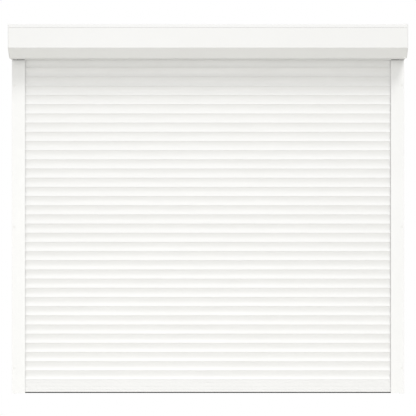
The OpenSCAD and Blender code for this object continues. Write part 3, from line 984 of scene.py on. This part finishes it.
def make_slats():
    """One profile for each row, each with a mesh of its own."""
    outer, inner = slat_outlines()
    for k in range(1, slat_count + 1):
        low, high = node_box(f"slat_{k:02d}")
        form = Form()
        shift = Vector((slat_y, low.z))
        form.along_x(low.x, high.x, [p + shift for p in outer], [p + shift for p in inner])
        under_box = max(0, 1 - (k - 1) / under_box_rows)

        # grime and painted shade at a joint: less on the slats under the box, none on the uppermost
        def in_joint(p):
            below = pitch - slat_joint - p.z + low.z
            return (1 - under_box) * max(0, 1 - below / head_dirt_and_shade, 1 - (p.z - low.z) / foot_dirt_and_shade)

        # painted shade over the upper part of each slat, stronger under the box
        def in_painted_shade(p):
            share = ((p.z - low.z) / pitch - shade_end) / (shade_full - shade_end)
            return (1 + under_box_shade * under_box) * min(1, max(0, share))
        mesh = form.mesh(f"slat_profile_{k:02d}")
        mark(mesh, "groove", in_joint)
        mark(mesh, "painted_slat_shade", in_painted_shade)
        obj = piece(f"slat_profile_{k:02d}", mesh, f"row_{k:02d}", "slat_white", f"slat_{k:02d}")
        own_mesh(obj)


def make_bottom_bar():
    """A hollow profile with ribs on its face, a bead on its head and the seal's slot in its foot."""
    half = slat_depth / 2
    foot_r, top_r, edge, groove_r, fillet_r, chamber_r = 0.6, 0.8, 0.2, 0.15, 0.3, 0.5
    points, radii = [Vector((-half, 0))], [foot_r]
    for z in rib_heights:
        top = z + rib_w
        rib = [(-half, z), (rib_d - half, z + edge), (rib_d - half, top - edge), (-half, top)]
        points += [Vector(p) for p in rib]
        radii += [edge, groove_r, groove_r, edge]
    neck = neck_outline(bar_h, bar_h + slat_gap)
    points += [Vector((-half, bar_h))] + neck + [Vector((half, bar_h)), Vector((half, 0))]
    radii += [top_r] + ends(neck, fillet_r) + [top_r, foot_r]
    wide = slot_w / 2 + slot_lip
    slot = [
        (slot_w / 2, 0), (slot_w / 2, slot_lip), (wide, slot_lip), (wide, slot_d),
        (-wide, slot_d), (-wide, slot_lip), (-slot_w / 2, slot_lip), (-slot_w / 2, 0),
    ]
    points += [Vector(p) for p in slot]
    radii += [edge] * len(slot)
    chamber = rectangle(bar_wall - half, half - bar_wall, slot_d + bar_wall, bar_h - bar_wall)
    shift = Vector((slat_y, bar_low.z))
    outer = [p + shift for p in round_corners(points, radii, 4)]
    inner = [p + shift for p in rounded(chamber, chamber_r, 3)]
    form = Form()
    form.along_x(bar_low.x, bar_high.x, outer, inner)
    piece("bar_profile", form.mesh("bar_profile"), "bottom", "bar_white", "bottom_bar")


def make_seal():
    """Half round strip with fine grooves along it, and the foot that holds it in the bar."""
    neck, wide = slot_w / 2 - slot_play, slot_w / 2 + slot_lip - slot_play
    low, high = slot_lip + slot_play, slot_d - slot_play
    half = seal_t / 2
    centre = (0, half - seal_h)
    points = [
        (half, 0), (neck, 0), (neck, low), (wide, low), (wide, high),
        (-wide, high), (-wide, low), (-neck, low), (-neck, 0), (-half, 0),
    ]
    radii = [0.1, 0.1, 0.1, 0.2, 0.3, 0.3, 0.2, 0.1, 0.1, 0.1]
    points += arc(centre, half, 180, 205, 4)
    grooves, groove_turn, groove_d = (215, 250, 290, 325), 5, 0.25
    for angle in grooves:
        for turn, depth in ((-groove_turn, 0), (0, groove_d), (groove_turn, 0)):
            points += arc(centre, half - depth, angle + turn, angle + turn, 1)[:1]
    points += arc(centre, half, 335, 360, 4)
    radii += [0] * (len(points) - len(radii))
    shift = Vector((slat_y, bar_low.z))
    form = Form()
    form.along_x(bar_low.x, bar_high.x, [p + shift for p in round_corners(points, radii, 4)])
    piece("seal_strip", form.mesh("seal_strip"), "bottom", "rubber_black", "bottom_seal")


# Shaft

def octagon(across, corner_r):
    """A section round the shaft's axis, from its width across flats."""
    corners = arc((shaft_y, shaft_z), across / 2 / math.cos(math.pi / 8), 22.5, 337.5, 7)
    return rounded(corners, corner_r, 4)


def make_shaft():
    """An octagonal steel tube."""
    wall, corner_r = 1, 2.5
    outer = octagon(shaft_af, corner_r)
    inner = octagon(shaft_af - 2 * wall, corner_r - wall)
    form = Form()
    form.along_x(shaft_low.x, shaft_high.x, outer, inner)
    piece("shaft_tube", form.mesh("shaft_tube"), "shaft", "zinc_steel", "winding_shaft")


def make_hangers():
    """Spring steel straps from the shaft's rear flat to clips on the top bead."""
    low, high = node_box("curtain_hangers")
    z_joint = slat_low.z + pitch
    count, strap_w, strap_t, strap_bend = 4, 30, 0.8, 2
    clip_h, clip_d, clip_r = 9, 7, 0.8
    grip, keep = 0.9, 0.1
    flat = shaft_y + shaft_af / 2
    reach = grip * shaft_af / 2 * math.tan(math.pi / 8)
    clip_y, clip_z = slat_y + neck_y, z_joint + slat_gap
    path = [(flat, shaft_z + reach), (flat, shaft_z - reach), (clip_y, clip_z + clip_h - strap_t)]
    strap = bent_sheet(path, strap_t, strap_bend)
    pocket = [Vector((slat_y, 0)) + p for p in pocket_outline(z_joint, clip_z)]
    front, rear, head = clip_y - clip_d / 2, clip_y + clip_d / 2, clip_z + clip_h
    body = [Vector(p) for p in ((front, clip_z), (front, head), (rear, head), (rear, clip_z))]
    clip = round_corners(pocket + body, [0] * len(pocket) + [clip_r] * len(body), 3)
    form = Form()
    for i in range(count):
        x = low.x + (high.x - low.x - strap_w) * i / (count - 1)
        form.along_x(x, x + strap_w, strap)
        form.along_x(x, x + strap_w, clip)
    obj = piece("hanger_straps", form.mesh("hanger_straps"), "shaft", "spring_steel", "curtain_hangers")
    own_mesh(obj)


make_top_sheet()
make_front_sheet()
make_flap_sheet()
make_rear_sheet()
make_grommet()
make_end_caps()
make_fasteners()
make_rails()
make_plugs()
make_brushes()
make_slats()
make_bottom_bar()
make_seal()
make_shaft()
make_hangers()

# The CAD nodes that stay get their slot's material
for part in frame["record"]["subparts"]:
    node = frame["nodes"][part["node"]]
    if not node.hide_render:
        node.data.materials.clear()
        node.data.materials.append(looks[part["material_slot"]])


# Stage, light and camera

ground_warmth = 0.066


def make_floor():
    """A pale floor under the object that fades into the white around it."""
    z, side, opaque, gone = -1.2, 2.4, 1.3, 2.35
    mesh = bpy.data.meshes.new("floor")
    corners = [(x, y, z) for x, y in rectangle(-side, side, -side, side)]
    mesh.from_pydata(corners, [], [(0, 1, 2, 3)])
    look = Look("floor")
    dark, light = grey(0.80, ground_warmth), grey(0.82, ground_warmth)
    look.set(Base_Color=look.mix(look.noise(2, 2), dark, light), Roughness=0.9)
    away = look.tree.nodes.new("ShaderNodeVectorMath")
    away.operation = "LENGTH"
    look.feed(away.inputs[0], look.stretched((1, 1, 0)))
    clear = look.tree.nodes.new("ShaderNodeBsdfTransparent")
    share = look.tree.nodes.new("ShaderNodeMixShader")
    look.feed(share.inputs[0], look.spread(away.outputs["Value"], 0, 1, start=opaque, end=gone))
    look.feed(share.inputs[1], look.shader.outputs["BSDF"])
    look.feed(share.inputs[2], clear.outputs["BSDF"])
    look.feed(look.tree.nodes["Material Output"].inputs["Surface"], share.outputs["Shader"])
    mesh.materials.append(look.material)
    floor = bpy.data.objects.new("floor", mesh)
    bpy.context.scene.collection.objects.link(floor)


def make_world(strength):
    """Even soft light, warmer from below; the camera sees plain white behind the object."""
    world = bpy.data.worlds.new("studio")
    world.use_nodes = True
    tree = world.node_tree
    soft = tree.nodes["Background"]
    soft.inputs["Strength"].default_value = strength
    split = tree.nodes.new("ShaderNodeSeparateXYZ")
    tree.links.new(tree.nodes.new("ShaderNodeTexCoord").outputs["Generated"], split.inputs["Vector"])
    blend = tree.nodes.new("ShaderNodeValToRGB")
    low, high = blend.color_ramp.elements
    low.position = 0.0
    low.color = grey(1, ground_warmth)
    high.position = 0.25
    high.color = grey(1)
    tree.links.new(split.outputs["Z"], blend.inputs["Fac"])
    tree.links.new(blend.outputs["Color"], soft.inputs["Color"])
    white = tree.nodes.new("ShaderNodeBackground")
    white.inputs["Color"].default_value = grey(1)
    path = tree.nodes.new("ShaderNodeLightPath")
    mix = tree.nodes.new("ShaderNodeMixShader")
    tree.links.new(path.outputs["Is Camera Ray"], mix.inputs["Fac"])
    tree.links.new(soft.outputs["Background"], mix.inputs[1])
    tree.links.new(white.outputs["Background"], mix.inputs[2])
    tree.links.new(mix.outputs["Shader"], tree.nodes["World Output"].inputs["Surface"])
    bpy.context.scene.world = world


def make_sun(name, strength, elevation, azimuth, spread):
    """A wide soft light; azimuth is to the right of the viewer, in degrees."""
    light = bpy.data.lights.new(name, "SUN")
    light.energy = strength
    light.angle = math.radians(spread)
    lamp = bpy.data.objects.new(name, light)
    e, a = math.radians(elevation), math.radians(azimuth)
    source = Vector((math.cos(e) * math.sin(a), -math.cos(e) * math.cos(a), math.sin(e)))
    lamp.rotation_euler = source.to_track_quat("Z", "Y").to_euler()
    bpy.context.scene.collection.objects.link(lamp)


def make_fill(name, power, place, wide, high):
    """A soft box that faces the object and isn't seen itself."""
    light = bpy.data.lights.new(name, "AREA")
    light.energy = power
    light.shape = "RECTANGLE"
    light.size = wide
    light.size_y = high
    lamp = bpy.data.objects.new(name, light)
    lamp.location = place
    lamp.rotation_euler = Vector(place).to_track_quat("Z", "Y").to_euler()
    lamp.visible_camera = False
    bpy.context.scene.collection.objects.link(lamp)


def make_camera():
    """Level, in front of the middle, at the photograph's distance."""
    data = bpy.data.cameras.new("camera")
    data.sensor_width = 36
    data.lens = 111.9
    camera = bpy.data.objects.new("camera", data)
    camera.location = (0, -5.511, 0.0797)
    camera.rotation_euler = (math.pi / 2, 0, 0)
    bpy.context.scene.collection.objects.link(camera)
    bpy.context.scene.camera = camera


make_floor()
make_world(strength=0.68)
make_sun("key", strength=1.28, elevation=52, azimuth=20, spread=19)
make_fill("fill", power=108, place=(-0.5, -6.9, 0.25), wide=4.2, high=1.4)
make_fill("back", power=40, place=(0.9, 4.4, 0.6), wide=1.2, high=1.2)
make_camera()
bpy.context.scene.view_settings.view_transform = "Standard"
